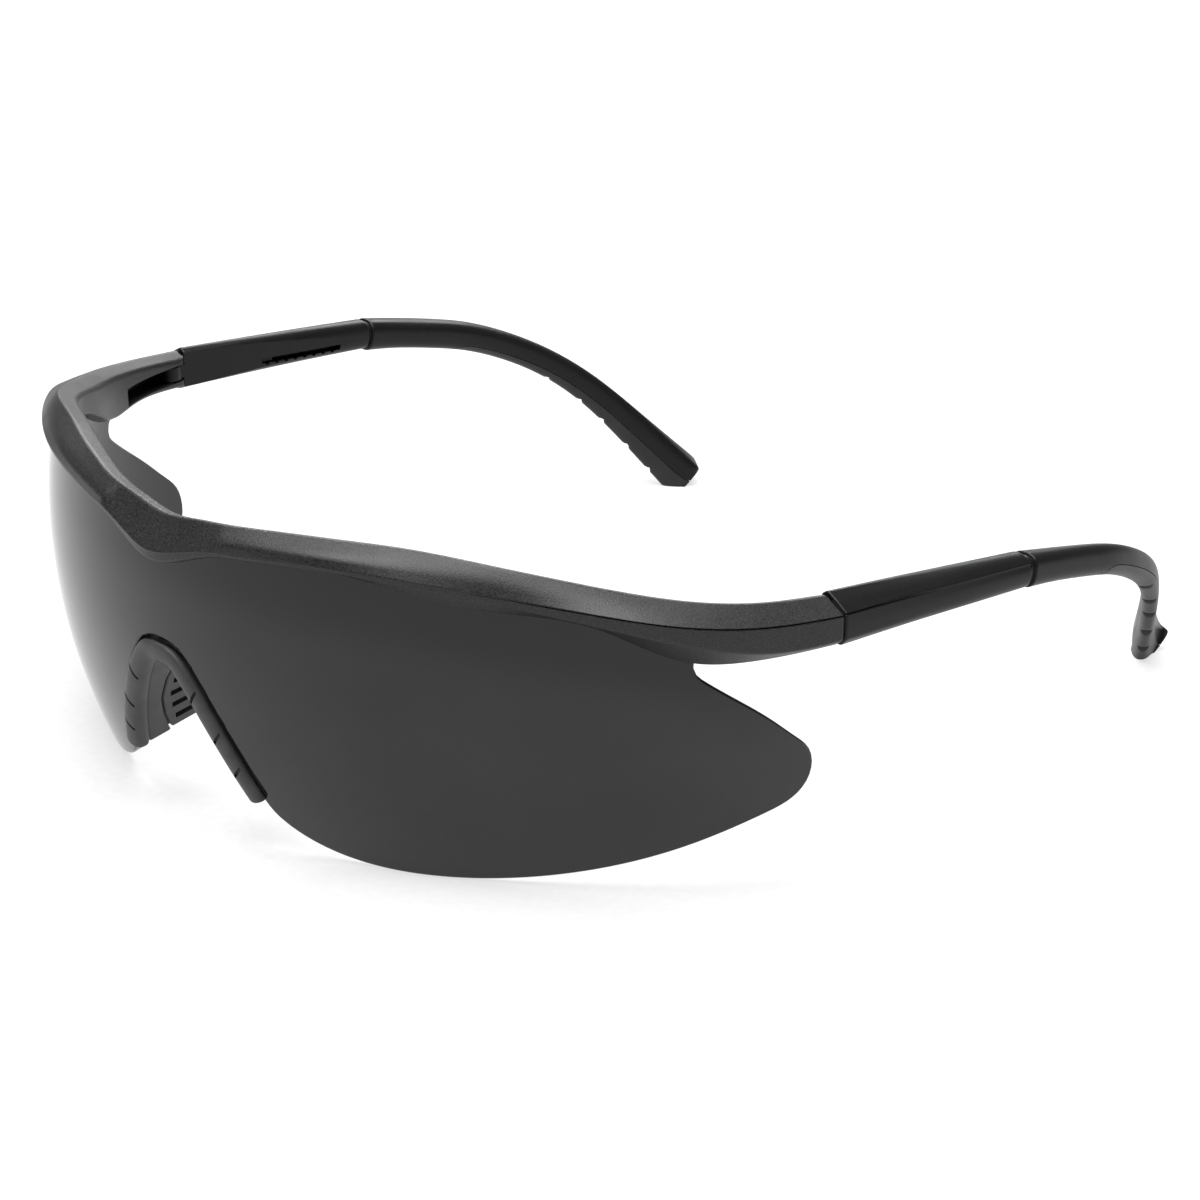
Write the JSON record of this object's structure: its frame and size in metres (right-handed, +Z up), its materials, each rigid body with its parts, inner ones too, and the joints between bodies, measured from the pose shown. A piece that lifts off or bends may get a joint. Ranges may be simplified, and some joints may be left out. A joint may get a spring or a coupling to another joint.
{
  "type": "safety glasses",
  "caption": "Wraparound safety glasses with a tinted one-piece shield, moulded brow bar, soft nose piece and folding temples whose curved tips slide to adjust length.",
  "frame": {"origin": "centre of the footprint, on the surface that the shield's lower lobes and the two temple tips rest on", "axes": "+X towards the wearer's left, +Y from the shield back along the temples, +Z up"},
  "size_m": [0.1498, 0.162, 0.0508],
  "materials": {
    "brow_nylon": "fine moulded grain, satin black",
    "smoke_lens": "polished dark smoke polycarbonate",
    "soft_nose": "soft matt elastomer",
    "soft_grip": "soft matt elastomer",
    "temple_nylon": "smooth satin black",
    "pin_steel": "plain drawn wire"
  },
  "bodies": {
    "front": {"brow_bar": "brow_nylon", "lens": "smoke_lens", "nose_bridge": "soft_nose", "nose_pad_left": "soft_nose", "nose_pad_right": "soft_nose", "hinge_pin_left": "pin_steel", "hinge_pin_right": "pin_steel"},
    "temple_left": {"temple_sleeve_left": "temple_nylon"},
    "tip_left": {"temple_tip_left": "temple_nylon", "tip_pad_left": "soft_grip"},
    "temple_right": {"temple_sleeve_right": "temple_nylon"},
    "tip_right": {"temple_tip_right": "temple_nylon", "tip_pad_right": "soft_grip"}
  },
  "joints": [
    {"name": "temple_hinge_left", "type": "hinge", "parent": "front", "child": "temple_left", "pos_m": [0.0706, -0.02096, 0.03837], "axis": [0, -0.0146, 0.9999], "range_deg": [0, 90]},
    {"name": "temple_hinge_right", "type": "hinge", "parent": "front", "child": "temple_right", "pos_m": [-0.0706, -0.02096, 0.03837], "axis": [0, 0.0146, -0.9999], "range_deg": [0, 80]},
    {"name": "tip_slide_left", "type": "slide", "parent": "temple_left", "child": "tip_left", "axis": [0, 0.9968, -0.0801], "range_m": [0, 0.012]},
    {"name": "tip_slide_right", "type": "slide", "parent": "temple_right", "child": "tip_right", "axis": [0, 0.9968, -0.0801], "range_m": [0, 0.012]}
  ]
}
